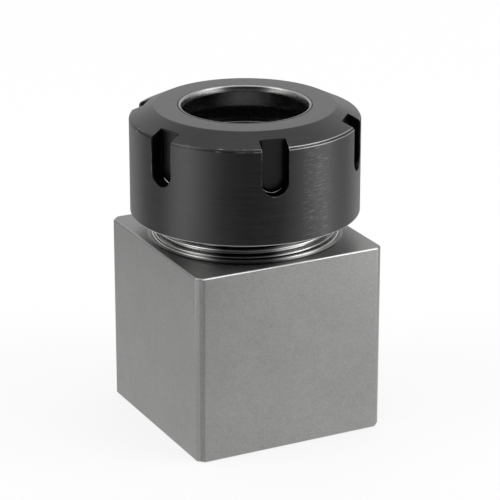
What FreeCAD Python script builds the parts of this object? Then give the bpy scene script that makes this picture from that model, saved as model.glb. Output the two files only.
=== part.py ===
import FreeCAD, Part
import os
import Sketcher

# Collet block for size 32 collets: a square steel block with a threaded nose, and its clamping nut.
# The nut holds a pressure ring on a full circle of balls, so it turns while the ring only presses.
# Millimetres, +Z up along the bore, origin at the middle of the block's lower face.
# Everything stands on the block: the ring rests on the nose, and the nut hangs on the ring.

SIZES = [
    ("thread_diameter", 40.0, "M40 nose thread, over the crests"),
    ("thread_pitch", 1.5, "pitch of the nose thread"),
    ("thread_clearance", 0.06, "radial play between nose and nut threads"),
    ("block_height", 42.0, "lower face to upper face of the block"),
    ("block_margin", 1.725, "collar to a side of the block, where they are nearest"),
    ("corner_chamfer", 1.45, "flat ground along each upright corner"),
    ("rim_chamfer", 0.3, "broken edge round the upper and lower faces"),
    ("collar_step", 0.5, "low round collar, outside the thread crests"),
    ("collar_height", 1.0, "collar above the upper face"),
    ("collar_fillet", 0.6, "fillet between collar and upper face"),
    ("nose_length", 20.3, "upper face to the front of the nose"),
    ("nose_chamfer", 1.0, "lead in on the nose thread"),
    ("nose_wall", 4.0, "thread crests to the mouth of the collet taper"),
    ("taper_step", 4.5, "mouth of the taper to the bore behind it"),
    ("taper_half_angle", 8.0, "half angle of the collet taper, degrees"),
    ("bore_chamfer", 1.0, "chamfer of the bore in the lower face"),
    ("nut_wall", 5.0, "thread crests to the outside of the nut"),
    ("nut_height", 23.6, "front to back of the nut"),
    ("shoulder_width", 5.4, "outside of the nut to the edge of its flat front"),
    ("shoulder_drop", 2.6, "height of the sloping shoulder"),
    ("shoulder_round", 0.6, "rounding between shoulder and side"),
    ("foot_chamfer", 0.25, "broken edge at the back of the nut"),
    ("entry_chamfer", 1.0, "lead in of the nut thread"),
    ("relief_depth", 0.4, "thread relief outside the thread crests"),
    ("relief_height", 1.8, "length of the thread relief"),
    ("relief_lap", 0.3, "how far the relief reaches up beside the ring"),
    ("slot_count", 6, "spanner slots"),
    ("slot_width", 5.8, "width of a spanner slot"),
    ("slot_depth", 3.0, "outside of the nut to the floor of a slot"),
    ("slot_drop", 12.9, "nut front to the round end of a slot"),
    ("nut_angle", 168.0, "how far the nut is turned on its thread, degrees"),
    ("ring_inset", 1.05, "thread crests to the outside of the pressure ring"),
    ("ring_wall", 1.75, "outside of the ring to the recess behind its seat"),
    ("ring_gap", 0.1, "running gap between ring and nut"),
    ("ring_angle", 63.0, "where the extraction lip is narrowest, degrees"),
    ("recess_step", 1.35, "recess outside the wide end of the seat"),
    ("recess_height", 1.24, "straight wall of the recess over the lip"),
    ("recess_slope", 0.866, "height of the sloping underside of the seat"),
    ("seat_width", 2.25, "wide end of the seat to the opening"),
    ("seat_half_angle", 30.0, "half angle of the collet seat, degrees"),
    ("opening_depth", 1.3, "front of the ring to the start of the seat"),
    ("opening_chamfer", 0.45, "bright chamfer of the opening"),
    ("neck_wall", 0.85, "opening to the outside of the ring's neck"),
    ("neck_height", 1.2, "length of the neck"),
    ("neck_slope", 1.5, "height of the cone between neck and outside"),
    ("lip_height", 1.6, "thickness of the extraction lip"),
    ("lip_inset", 0.6, "recess to the round hole that leaves the lip"),
    ("lip_offset", 1.0, "that hole's distance from the axis"),
    ("ball_radius", 1.5, "radius of a ball"),
    ("ball_play", 0.1, "least gap between two balls"),
    ("race_offset", 0.05, "outside of the ring to the balls' circle"),
    ("race_land", 0.3, "cone of the ring to its ball race"),
    ("race_gap", 0.06, "running gap between balls and races"),
    ("plug_margin", 0.1, "plug and filling hole, wider than a ball"),
    ("plug_setback", 0.04, "inner end of the plug behind the race"),
]

doc = FreeCAD.newDocument("collet_block")
sheet = doc.addObject("Spreadsheet::Sheet", "sizes")
for row, (alias, number, meaning) in enumerate(SIZES, start=1):
    sheet.set(f"A{row}", meaning)
    sheet.set(f"B{row}", str(number))
    sheet.setAlias(f"B{row}", alias)
doc.recompute()

# Radii that more than one piece is built to. The thread is the one they all start from.
CREST = "(sizes.thread_diameter / 2)"
THREAD_MIDDLE = f"({CREST} - 0.3248 * sizes.thread_pitch)"
NOSE_RADIUS = f"({THREAD_MIDDLE} - sizes.thread_clearance / 2)"
NUT_THREAD_RADIUS = f"({THREAD_MIDDLE} + sizes.thread_clearance / 2)"
COLLAR_RADIUS = f"({CREST} + sizes.collar_step)"
BLOCK_HALF = f"({COLLAR_RADIUS} + sizes.block_margin)"
TAPER_MOUTH = f"({CREST} - sizes.nose_wall)"
BORE_RADIUS = f"({TAPER_MOUTH} - sizes.taper_step)"
NUT_RADIUS = f"({CREST} + sizes.nut_wall)"
FLAT_RADIUS = f"({NUT_RADIUS} - sizes.shoulder_width)"
SLOT_FLOOR = f"({NUT_RADIUS} - sizes.slot_depth)"
RELIEF_RADIUS = f"({CREST} + sizes.relief_depth)"
RING_RADIUS = f"({CREST} - sizes.ring_inset)"
RECESS_RADIUS = f"({RING_RADIUS} - sizes.ring_wall)"
SEAT_RADIUS = f"({RECESS_RADIUS} - sizes.recess_step)"
OPENING_RADIUS = f"({SEAT_RADIUS} - sizes.seat_width)"
NECK_RADIUS = f"({OPENING_RADIUS} + sizes.neck_wall)"
LIP_HOLE_RADIUS = f"({RECESS_RADIUS} - sizes.lip_inset)"
BALL_CIRCLE = f"({RING_RADIUS} + sizes.race_offset)"
RACE_RADIUS = "(sizes.ball_radius + sizes.race_gap)"
RACE_OUTSIDE = f"({BALL_CIRCLE} + {RACE_RADIUS})"
PLUG_RADIUS = "(sizes.ball_radius + sizes.plug_margin)"
BALL_PITCH = f"(2 * asin((sizes.ball_radius + sizes.ball_play / 2) / {BALL_CIRCLE}))"
BALL_COUNT = f"floor(360 deg / {BALL_PITCH})"

# Heights, from the block's lower face up.
BLOCK_TOP = "sizes.block_height"
COLLAR_TOP = "(sizes.block_height + sizes.collar_height)"
NOSE_TOP = "(sizes.block_height + sizes.nose_length)"
TAPER_FOOT = f"({NOSE_TOP} - sizes.taper_step / tan(sizes.taper_half_angle))"
LIP_TOP = f"({NOSE_TOP} + sizes.lip_height)"
RECESS_TOP = f"({LIP_TOP} + sizes.recess_height)"
SEAT_FOOT = f"({RECESS_TOP} + sizes.recess_slope)"
SEAT_TOP = f"({SEAT_FOOT} + sizes.seat_width / tan(sizes.seat_half_angle))"
FRONT = f"({SEAT_TOP} + sizes.opening_depth)"
NECK_FOOT = f"({FRONT} - sizes.neck_height)"
RING_SHOULDER = f"({NECK_FOOT} - sizes.neck_slope)"
RACE_HEIGHT = f"({RING_SHOULDER} - sizes.race_land - {RACE_RADIUS})"
NUT_BACK = f"({FRONT} - sizes.nut_height)"
NUT_SHOULDER = f"({FRONT} - sizes.shoulder_drop)"
RELIEF_TOP = f"({NOSE_TOP} + sizes.relief_lap)"
RELIEF_FOOT = f"({RELIEF_TOP} - sizes.relief_height)"
SLOT_CENTRE = f"({FRONT} - sizes.slot_drop + sizes.slot_width / 2)"
SLOT_TOP = f"({FRONT} + sizes.shoulder_drop)"
UPRIGHT = FreeCAD.Vector(0, 0, 1)


def value(expression):
    """The present number of an expression on the sizes."""
    number = sheet.evalExpression(expression)
    return float(getattr(number, "Value", number))


def new_body(label):
    """An empty body whose label names its file."""
    body = doc.addObject("PartDesign::Body", label)
    body.Label = label
    return body


def turned(body, angle):
    """Turns a finished body about the upright axis by an angle from the sheet."""
    body.Placement = FreeCAD.Placement(FreeCAD.Vector(), FreeCAD.Rotation(UPRIGHT, value(angle)))
    body.setExpression("Placement.Rotation.Angle", angle)


def sketch_on(body, name, plane, lift=None):
    """A sketch on one of the body's own origin planes, lifted off it by an expression."""
    sketch = body.newObject("Sketcher::SketchObject", name)
    support = [part for part in body.Origin.OriginFeatures if part.Role == plane][0]
    sketch.AttachmentSupport = (support, [""])
    sketch.MapMode = "FlatFace"
    if lift:
        sketch.setExpression("AttachmentOffset.Base.z", lift)
    return sketch


def tie(sketch, label, kind, *entries):
    """Adds a named dimension whose last entry is an expression on the sizes."""
    expression = entries[-1]
    index = sketch.addConstraint(Sketcher.Constraint(kind, *entries[:-1], value(expression)))
    sketch.renameConstraint(index, label)
    sketch.setExpression(f"Constraints.{label}", expression)


def outline(body, name, corners):
    """A closed outline in the plane of the axis; each corner is a radius and a height."""
    sketch = sketch_on(body, name, "XZ_Plane")
    points = [FreeCAD.Vector(value(across), value(up), 0) for across, up in corners]
    last = len(corners) - 1
    for index, point in enumerate(points):
        sketch.addGeometry(Part.LineSegment(point, points[0 if index == last else index + 1]))
    for index in range(len(corners)):
        follower = 0 if index == last else index + 1
        sketch.addConstraint(Sketcher.Constraint("Coincident", index, 2, follower, 1))
    for index, (across, up) in enumerate(corners):
        if across == "0":
            sketch.addConstraint(Sketcher.Constraint("PointOnObject", index, 1, -2))
        else:
            tie(sketch, f"across_{index}", "DistanceX", -1, 1, index, 1, across)
        if up == "0":
            sketch.addConstraint(Sketcher.Constraint("PointOnObject", index, 1, -1))
        else:
            tie(sketch, f"up_{index}", "DistanceY", -1, 1, index, 1, up)
    return sketch


def ring_of(body, name, across, up, radius, plane="XZ_Plane", lift=None):
    """A sketch of one circle; across or up may be "0" for a centre on that axis."""
    sketch = sketch_on(body, name, plane, lift)
    centre = FreeCAD.Vector(value(across), value(up), 0)
    sketch.addGeometry(Part.Circle(centre, FreeCAD.Vector(0, 0, 1), value(radius)))
    tie(sketch, "radius", "Radius", 0, radius)
    if across == "0":
        sketch.addConstraint(Sketcher.Constraint("PointOnObject", 0, 3, -2))
    else:
        tie(sketch, "across", "DistanceX", -1, 1, 0, 3, across)
    if up == "0":
        sketch.addConstraint(Sketcher.Constraint("PointOnObject", 0, 3, -1))
    else:
        tie(sketch, "up", "DistanceY", -1, 1, 0, 3, up)
    return sketch


def spin(body, kind, name, sketch):
    """Turns an outline a full circle about the upright axis, adding or cutting."""
    feature = body.newObject(f"PartDesign::{kind}", name)
    feature.Profile = sketch
    feature.ReferenceAxis = (sketch, ["V_Axis"])
    feature.Angle = 360
    return feature


def cut_outwards(body, name, sketch):
    """Cuts from the sketch's plane away from the nut's axis."""
    pocket = body.newObject("PartDesign::Pocket", name)
    pocket.Profile = sketch
    pocket.Type = "ThroughAll"
    pocket.Reversed = True
    return pocket


def level_circle(shape, radius, height):
    """Names of the arcs that make up the level circle of that radius at that height."""
    names = []
    for index, edge in enumerate(shape.Edges, start=1):
        if edge.Curve.TypeId != "Part::GeomCircle":
            continue
        same_radius = abs(edge.Curve.Radius - radius) < 0.001
        same_height = abs(edge.Curve.Center.z - height) < 0.001
        level = abs(edge.Curve.Axis.z) > 0.999
        if same_radius and same_height and level:
            names.append(f"Edge{index}")
    if not names:
        raise ValueError(f"no circle of radius {radius} at {height}")
    return names


def straight_edges(shape, upright, radius):
    """Names of the straight edges outside a radius that stand upright, or of those that lie flat."""
    names = []
    for index, edge in enumerate(shape.Edges, start=1):
        if edge.Curve.TypeId != "Part::GeomLine":
            continue
        start, end = edge.firstVertex().Point, edge.lastVertex().Point
        stands = abs(end.z - start.z) > 0.001
        outside = (start + end).multiply(0.5)
        if stands == upright and max(abs(outside.x), abs(outside.y)) > radius:
            names.append(f"Edge{index}")
    return names


def square_pad(body):
    """The square block before its edges are broken."""
    sketch = sketch_on(body, "block_square", "XY_Plane")
    half = value(BLOCK_HALF)
    corners = [
        FreeCAD.Vector(-half, -half, 0),
        FreeCAD.Vector(half, -half, 0),
        FreeCAD.Vector(half, half, 0),
        FreeCAD.Vector(-half, half, 0),
    ]
    for index in range(4):
        sketch.addGeometry(Part.LineSegment(corners[index], corners[(index + 1) % 4]))
    for index in range(4):
        sketch.addConstraint(Sketcher.Constraint("Coincident", index, 2, (index + 1) % 4, 1))
    for index, kind in enumerate(("Horizontal", "Vertical", "Horizontal", "Vertical")):
        sketch.addConstraint(Sketcher.Constraint(kind, index))
    sketch.addConstraint(Sketcher.Constraint("Symmetric", 0, 1, 1, 2, -1, 1))
    tie(sketch, "side_x", "DistanceX", 0, 1, 0, 2, f"(2 * {BLOCK_HALF})")
    tie(sketch, "side_y", "DistanceY", 1, 1, 1, 2, f"(2 * {BLOCK_HALF})")
    pad = body.newObject("PartDesign::Pad", "block_pad")
    pad.Profile = sketch
    pad.setExpression("Length", BLOCK_TOP)
    doc.recompute()
    return pad


def break_edges(body, name, base, edges, size):
    """An even chamfer on the named edges of a feature."""
    chamfer = body.newObject("PartDesign::Chamfer", name)
    chamfer.Base = (base, edges)
    chamfer.setExpression("Size", size)
    doc.recompute()
    return chamfer


def round_edge(body, name, base, edges, radius):
    """A round on the named edges of a feature."""
    fillet = body.newObject("PartDesign::Fillet", name)
    fillet.Base = (base, edges)
    fillet.setExpression("Radius", radius)
    doc.recompute()
    return fillet


def make_block():
    """The block with its nose: one piece of steel, squared, turned, threaded and bored."""
    body = new_body("block_body")
    pad = square_pad(body)
    upright = straight_edges(pad.Shape, True, 0)
    corners = break_edges(body, "upright_corners", pad, upright, "sizes.corner_chamfer")
    level = straight_edges(corners.Shape, False, 0)
    rims = break_edges(body, "upper_and_lower_rims", corners, level, "sizes.rim_chamfer")
    # The nose starts half way down inside the block, so that the two are one solid.
    inside = f"({BLOCK_TOP} / 2)"
    nose = outline(body, "nose_outline", [
        ("0", inside),
        (COLLAR_RADIUS, inside),
        (COLLAR_RADIUS, COLLAR_TOP),
        (NOSE_RADIUS, COLLAR_TOP),
        (NOSE_RADIUS, f"({NOSE_TOP} - sizes.nose_chamfer)"),
        (f"({NOSE_RADIUS} - sizes.nose_chamfer)", NOSE_TOP),
        ("0", NOSE_TOP),
    ])
    spin(body, "Revolution", "nose", nose)
    doc.recompute()
    foot = level_circle(body.Shape, value(COLLAR_RADIUS), value(BLOCK_TOP))
    fillet = "min(sizes.collar_fillet; 0.8 * sizes.collar_height)"
    round_edge(body, "collar_foot", body.Tip, foot, fillet)
    hollow = outline(body, "taper_and_bore_outline", [
        ("0", "0"),
        (f"({BORE_RADIUS} + sizes.bore_chamfer)", "0"),
        (BORE_RADIUS, "sizes.bore_chamfer"),
        (BORE_RADIUS, TAPER_FOOT),
        (TAPER_MOUTH, NOSE_TOP),
        ("0", NOSE_TOP),
    ])
    spin(body, "Groove", "taper_and_bore", hollow)
    doc.recompute()
    return body


def slot_sketch(body):
    """The upright slot with its round lower end, on the plane of its floor."""
    sketch = sketch_on(body, "slot_outline", "XZ_Plane", SLOT_FLOOR)
    half = value("sizes.slot_width / 2")
    low, high = value(SLOT_CENTRE), value(SLOT_TOP)
    vector = FreeCAD.Vector
    sketch.addGeometry(Part.LineSegment(vector(-half, low, 0), vector(-half, high, 0)))
    sketch.addGeometry(Part.LineSegment(vector(-half, high, 0), vector(half, high, 0)))
    sketch.addGeometry(Part.LineSegment(vector(half, high, 0), vector(half, low, 0)))
    sketch.addGeometry(Part.Arc(vector(-half, low, 0), vector(0, low - half, 0), vector(half, low, 0)))
    left, top, right, foot = range(4)
    sketch.addConstraint(Sketcher.Constraint("Coincident", left, 2, top, 1))
    sketch.addConstraint(Sketcher.Constraint("Coincident", top, 2, right, 1))
    sketch.addConstraint(Sketcher.Constraint("Tangent", right, 2, foot, 2))
    sketch.addConstraint(Sketcher.Constraint("Tangent", foot, 1, left, 1))
    sketch.addConstraint(Sketcher.Constraint("Vertical", left))
    sketch.addConstraint(Sketcher.Constraint("Vertical", right))
    sketch.addConstraint(Sketcher.Constraint("Horizontal", top))
    sketch.addConstraint(Sketcher.Constraint("PointOnObject", foot, 3, -2))
    tie(sketch, "end_radius", "Radius", foot, "sizes.slot_width / 2")
    tie(sketch, "end_height", "DistanceY", -1, 1, foot, 3, SLOT_CENTRE)
    tie(sketch, "top_height", "DistanceY", -1, 1, top, 1, SLOT_TOP)
    return sketch


def make_nut():
    """The nut: flat front, sloping shoulder, six slots, ball race, thread relief and thread."""
    body = new_body("nut_body")
    opening = f"({NECK_RADIUS} + sizes.ring_gap)"
    ring_bore = f"({RING_RADIUS} + sizes.ring_gap)"
    profile = outline(body, "nut_outline", [
        (opening, FRONT),
        (FLAT_RADIUS, FRONT),
        (NUT_RADIUS, NUT_SHOULDER),
        (NUT_RADIUS, f"({NUT_BACK} + sizes.foot_chamfer)"),
        (f"({NUT_RADIUS} - sizes.foot_chamfer)", NUT_BACK),
        (f"({NUT_THREAD_RADIUS} + sizes.entry_chamfer)", NUT_BACK),
        (NUT_THREAD_RADIUS, f"({NUT_BACK} + sizes.entry_chamfer)"),
        (NUT_THREAD_RADIUS, RELIEF_FOOT),
        (RELIEF_RADIUS, RELIEF_FOOT),
        (RELIEF_RADIUS, RELIEF_TOP),
        (ring_bore, RELIEF_TOP),
        (ring_bore, f"({RING_SHOULDER} + sizes.ring_gap)"),
        (opening, f"({NECK_FOOT} + sizes.ring_gap)"),
    ])
    spin(body, "Revolution", "nut_blank", profile)
    doc.recompute()
    slot = cut_outwards(body, "spanner_slot", slot_sketch(body))
    doc.recompute()
    slots = body.newObject("PartDesign::PolarPattern", "spanner_slots")
    slots.Originals = [slot]
    slots.Axis = (profile, ["V_Axis"])
    slots.Angle = 360
    slots.setExpression("Occurrences", "sizes.slot_count")
    body.Tip = slots
    doc.recompute()
    shoulder = level_circle(body.Shape, value(NUT_RADIUS), value(NUT_SHOULDER))
    round_edge(body, "shoulder_rounding", slots, shoulder, "sizes.shoulder_round")
    race = ring_of(body, "race_section", BALL_CIRCLE, RACE_HEIGHT, RACE_RADIUS)
    spin(body, "Groove", "ball_race", race)
    doc.recompute()
    hole = ring_of(body, "filling_hole_outline", "0", RACE_HEIGHT, PLUG_RADIUS,
                   lift=BALL_CIRCLE)
    cut_outwards(body, "filling_hole", hole)
    turned(body, "sizes.nut_angle")
    doc.recompute()
    return body


def make_plug():
    """The plug in the filling hole, flush with the slot floor and just short of the race."""
    body = new_body("ball_fill_plug")
    inner_end = f"({RACE_OUTSIDE} + sizes.plug_setback)"
    face = ring_of(body, "plug_section", "0", RACE_HEIGHT, PLUG_RADIUS, lift=inner_end)
    pad = body.newObject("PartDesign::Pad", "plug")
    pad.Profile = face
    pad.setExpression("Length", f"{SLOT_FLOOR} - {inner_end}")
    turned(body, "sizes.nut_angle")
    doc.recompute()
    return body


def make_ring():
    """The pressure ring: neck and bright chamfer, collet seat, eccentric lip and ball race."""
    body = new_body("pressure_ring")
    lip_radius = f"({LIP_HOLE_RADIUS} - sizes.lip_offset)"
    profile = outline(body, "ring_outline", [
        (f"({OPENING_RADIUS} + sizes.opening_chamfer)", FRONT),
        (NECK_RADIUS, FRONT),
        (NECK_RADIUS, NECK_FOOT),
        (RING_RADIUS, RING_SHOULDER),
        (RING_RADIUS, NOSE_TOP),
        (lip_radius, NOSE_TOP),
        (lip_radius, LIP_TOP),
        (RECESS_RADIUS, LIP_TOP),
        (RECESS_RADIUS, RECESS_TOP),
        (SEAT_RADIUS, SEAT_FOOT),
        (OPENING_RADIUS, SEAT_TOP),
        (OPENING_RADIUS, f"({FRONT} - sizes.opening_chamfer)"),
    ])
    spin(body, "Revolution", "ring_blank", profile)
    doc.recompute()
    race = ring_of(body, "race_section", BALL_CIRCLE, RACE_HEIGHT, RACE_RADIUS)
    spin(body, "Groove", "ball_race", race)
    doc.recompute()
    hole = ring_of(body, "lip_hole_outline", "sizes.lip_offset", "0", LIP_HOLE_RADIUS,
                   plane="XY_Plane", lift=LIP_TOP)
    pocket = body.newObject("PartDesign::Pocket", "lip_hole")
    pocket.Profile = hole
    pocket.setExpression("Length", "sizes.lip_height")
    turned(body, "sizes.ring_angle")
    doc.recompute()
    return body


def make_ball(index):
    """One ball, at its place in the full circle."""
    ball = doc.addObject("Part::Sphere", f"ball_{index + 1:02d}")
    ball.Label = f"ball_{index + 1:02d}"
    angle = f"({index} * 360 / {BALL_COUNT})"
    ball.setExpression("Radius", "sizes.ball_radius")
    ball.setExpression("Placement.Base.x", f"{BALL_CIRCLE} * cos({angle})")
    ball.setExpression("Placement.Base.y", f"{BALL_CIRCLE} * sin({angle})")
    ball.setExpression("Placement.Base.z", RACE_HEIGHT)
    return ball


def check(parts):
    """Stops if anything in the document failed or a piece has no sound shape."""
    for item in doc.Objects:
        failed = {"Invalid", "Error"} & set(item.State)
        if failed:
            raise RuntimeError(f"{item.Label} failed: {item.State}")
    for part in parts:
        if part.Shape.isNull() or not part.Shape.isValid():
            raise RuntimeError(f"{part.Label} has no valid shape")


pieces = [make_block(), make_nut(), make_ring(), make_plug()]
pieces += [make_ball(index) for index in range(int(value(BALL_COUNT)))]
doc.recompute()
check(pieces)

os.makedirs("parts", exist_ok=True)
for piece in pieces:
    piece.Shape.exportStep(f"parts/{piece.Label}.step")
    print(f"{piece.Label}: {len(piece.Shape.Solids)} solid, {piece.Shape.Volume:.1f} mm3")
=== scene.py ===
# %% [markdown]
# # A collet block, dressed in Blender
# The object is a square steel block with a threaded nose, and a black clamping nut that turns on it.
# The nut carries a bright pressure ring on a circle of balls. All sizes below are in millimetres, as
# a machinist would read them from a drawing, and MM turns them into Blender's metres.
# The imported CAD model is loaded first, so that every piece below is built where it belongs.

# %% The frame and the tools
import math

import bmesh
import bpy
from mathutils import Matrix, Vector


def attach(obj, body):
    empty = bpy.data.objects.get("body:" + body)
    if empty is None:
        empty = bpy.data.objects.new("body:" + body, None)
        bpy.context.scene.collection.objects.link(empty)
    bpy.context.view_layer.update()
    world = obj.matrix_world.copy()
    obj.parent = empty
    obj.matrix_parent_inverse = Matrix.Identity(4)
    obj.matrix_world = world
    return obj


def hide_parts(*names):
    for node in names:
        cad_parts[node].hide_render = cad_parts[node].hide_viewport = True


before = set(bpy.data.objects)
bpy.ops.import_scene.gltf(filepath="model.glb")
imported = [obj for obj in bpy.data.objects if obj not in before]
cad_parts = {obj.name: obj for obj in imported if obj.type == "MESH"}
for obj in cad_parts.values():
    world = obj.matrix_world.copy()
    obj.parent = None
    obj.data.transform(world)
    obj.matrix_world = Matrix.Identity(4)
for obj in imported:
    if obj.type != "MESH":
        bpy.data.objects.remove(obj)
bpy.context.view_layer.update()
MM = 0.001

# %% [markdown]
# ## The sizes
# Everything round is measured from the bore's axis, and every height from the block's lower face.
# The thread is the size the rest grows from: M40 with a pitch of 1.5 mm, so its crests lie at 20 mm.

# %% Sizes of the block and its nose
BLOCK_HALF = 22.225
BLOCK_TOP = 42.0
CORNER_FLAT = 1.45
RIM = 0.3
COLLAR_RADIUS = 20.5
COLLAR_TOP = 43.0
COLLAR_FILLET = 0.65
FILLET_REACH = 1.05
COLLAR_ROUND = 0.35
NOSE_TOP = 62.3
NOSE_CHAMFER_WIDTH = 0.5
NOSE_CHAMFER_HEIGHT = 0.9
TAPER_MOUTH = 16.0
BORE_RADIUS = 11.5
BORE_CHAMFER = 1.0
TAPER_FOOT = NOSE_TOP - (TAPER_MOUTH - BORE_RADIUS) / math.tan(math.radians(8))
print("nose", round(NOSE_TOP - BLOCK_TOP, 1), "mm long, taper down to", round(TAPER_FOOT, 2), "mm")

# %% Sizes of the two threads
PITCH = 1.5
CREST = 20.0
ROOT = 19.08
NUT_CREST = 19.22
NUT_ROOT = 20.05
THREAD_START = 42.3
NUT_THREAD_START = THREAD_START + 4.5 * PITCH
print("threads", round(CREST - ROOT, 2), "and", round(NUT_ROOT - NUT_CREST, 2), "mm deep")

# %% Sizes of the nut
FRONT = 71.203
NUT_BACK = FRONT - 23.6
NUT_RADIUS = 25.0
FLAT_RADIUS = 19.6
SHOULDER_DROP = 2.6
SHOULDER_FACET = 0.377
FOOT_ROUND = 0.25
RELIEF_RADIUS = 20.4
RELIEF_TOP = NOSE_TOP + 0.3
RELIEF_FOOT = NOSE_TOP - 1.5
SLOT_COUNT = 6
SLOT_ANGLE = 78.0
SLOT_WIDTH = 5.8
SLOT_FLOOR = 22.0
SLOT_FOOT = FRONT - 12.9
print("nut from", round(NUT_BACK, 1), "to", round(FRONT, 1), "mm")

# %% Sizes of the ring and the ball race
RING_RADIUS = 18.95
RING_GAP = 0.1
OPENING_RADIUS = 13.6
OPENING_CHAMFER = 0.45
CHAMFER_DEPTH = 0.24
LAND_FLARE = 0.23
MOUTH_DEPTH = 1.3
NECK_RADIUS = 14.45
NECK_FOOT = FRONT - 1.2
RING_SHOULDER = NECK_FOOT - 1.5
SEAT_RADIUS = 15.85
SEAT_FOOT = NOSE_TOP + 3.706
RECESS_RADIUS = 17.2
RECESS_TOP = NOSE_TOP + 2.84
LIP_RADIUS = 16.6
LIP_TOP = NOSE_TOP + 1.6
LIP_ANGLE = 63.0
BALL_CIRCLE = 19.0
RACE_RADIUS = 1.56
RACE_HEIGHT = RING_SHOULDER - 0.3 - RACE_RADIUS
print("balls at", round(RACE_HEIGHT, 2), "mm, on a circle of", 2 * BALL_CIRCLE, "mm")

# %% [markdown]
# ## The camera
# The photograph looks down on the block by about 20 degrees from its front left edge. Its long lens
# hardly narrows the block towards the back. Angle, distance and lens were worked out from where the
# block's corners and the nut's edges lie in the picture, so the render can be laid over it.

# %% The photograph's camera
CAMERA_AZIMUTH = math.radians(-26.938)
CAMERA_ELEVATION = math.radians(20.226)
CAMERA_DISTANCE = 551.601
CAMERA_LENS = 181.147
AIM_ASIDE = 1.073
AIM_HEIGHT = 37.735
AIM = Vector((AIM_ASIDE * math.cos(CAMERA_AZIMUTH), AIM_ASIDE * math.sin(CAMERA_AZIMUTH), AIM_HEIGHT)) * MM


def direction(azimuth, elevation):
    """A unit vector; azimuth 0 points along -Y and grows towards +X."""
    level = math.cos(elevation)
    return Vector((math.sin(azimuth) * level, -math.cos(azimuth) * level, math.sin(elevation)))


def new_object(name, data):
    """An object in the scene that shows a mesh, a camera or a lamp."""
    made = bpy.data.objects.new(name, data)
    bpy.context.scene.collection.objects.link(made)
    return made


towards_camera = direction(CAMERA_AZIMUTH, CAMERA_ELEVATION)
camera = new_object("camera", bpy.data.cameras.new("camera"))
camera.data.lens = CAMERA_LENS
camera.data.clip_start = 0.05
camera.data.clip_end = 20
camera.location = AIM + towards_camera * CAMERA_DISTANCE * MM
camera.rotation_mode = "QUATERNION"
camera.rotation_quaternion = (-towards_camera).to_track_quat("-Z", "Y")
bpy.context.scene.camera = camera
print("camera at", [round(v, 3) for v in camera.location])

# %% [markdown]
# ## Shader sums as plain Python
# A finish is a small calculation: how bright, how rough, how bumpy a point is. Wiring it by hand
# takes dozens of Math nodes, so one small class wraps a socket and lets + - * / add those nodes.
# A second class holds the node tree and adds every node with one method.

# %% Wire
class Wire:
    """A socket of a node tree that can be used in sums."""

    def __init__(self, bench, socket):
        self.bench = bench
        self.socket = socket

    def __add__(self, other):
        return self.bench.maths("ADD", self, other)

    def __radd__(self, other):
        return self.bench.maths("ADD", other, self)

    def __sub__(self, other):
        return self.bench.maths("SUBTRACT", self, other)

    def __rsub__(self, other):
        return self.bench.maths("SUBTRACT", other, self)

    def __mul__(self, other):
        return self.bench.maths("MULTIPLY", self, other)

    def __rmul__(self, other):
        return self.bench.maths("MULTIPLY", other, self)

    def __truediv__(self, other):
        return self.bench.maths("DIVIDE", self, other)


print("sums on wires add Math nodes")

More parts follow.
